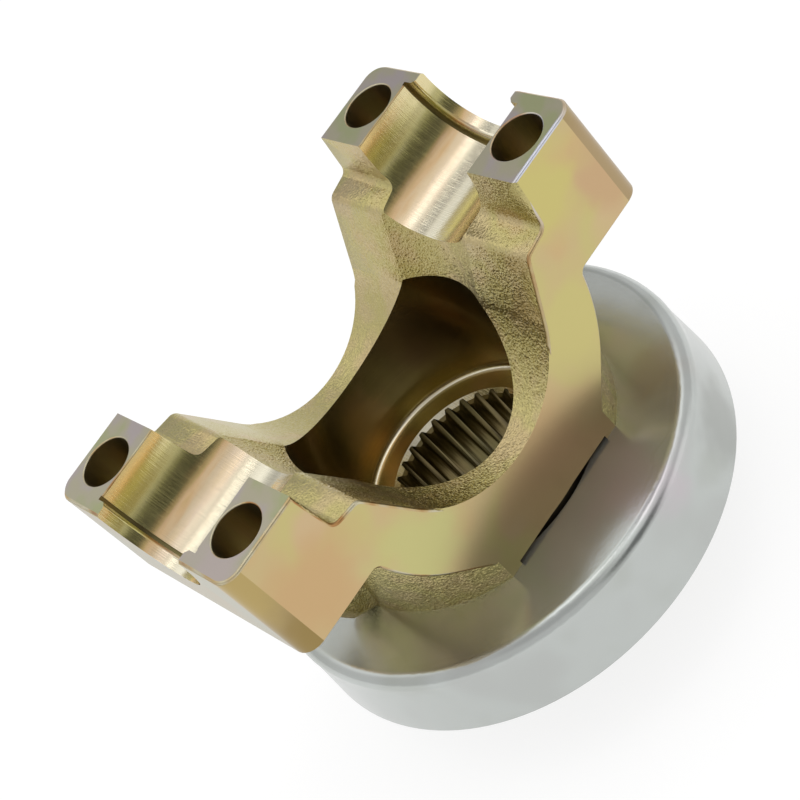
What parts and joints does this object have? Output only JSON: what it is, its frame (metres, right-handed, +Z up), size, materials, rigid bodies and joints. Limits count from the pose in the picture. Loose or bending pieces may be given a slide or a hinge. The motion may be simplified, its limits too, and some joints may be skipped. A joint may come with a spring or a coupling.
{
  "type": "forged universal joint end yoke",
  "caption": "Forged yoke with half-round bearing cap seats on its ears, U-bolt holes, a splined hub and a pressed dust shield.",
  "frame": {"origin": "hub axis at the hub's end face, which the yoke stands on", "axes": "+Z up the hub axis towards the ears, +X along the bearing cap seats from ear to ear, Y across the machined flanks"},
  "size_m": [0.0974, 0.094, 0.082],
  "materials": {
    "yellow_zinc_steel": "forged steel with machined faces, yellow dichromate zinc plating",
    "bright_zinc_sheet": "drawn sheet steel, clear zinc plating, satin"
  },
  "bodies": {
    "root": {"yoke": "yellow_zinc_steel", "dust_shield": "bright_zinc_sheet"}
  },
  "joints": []
}
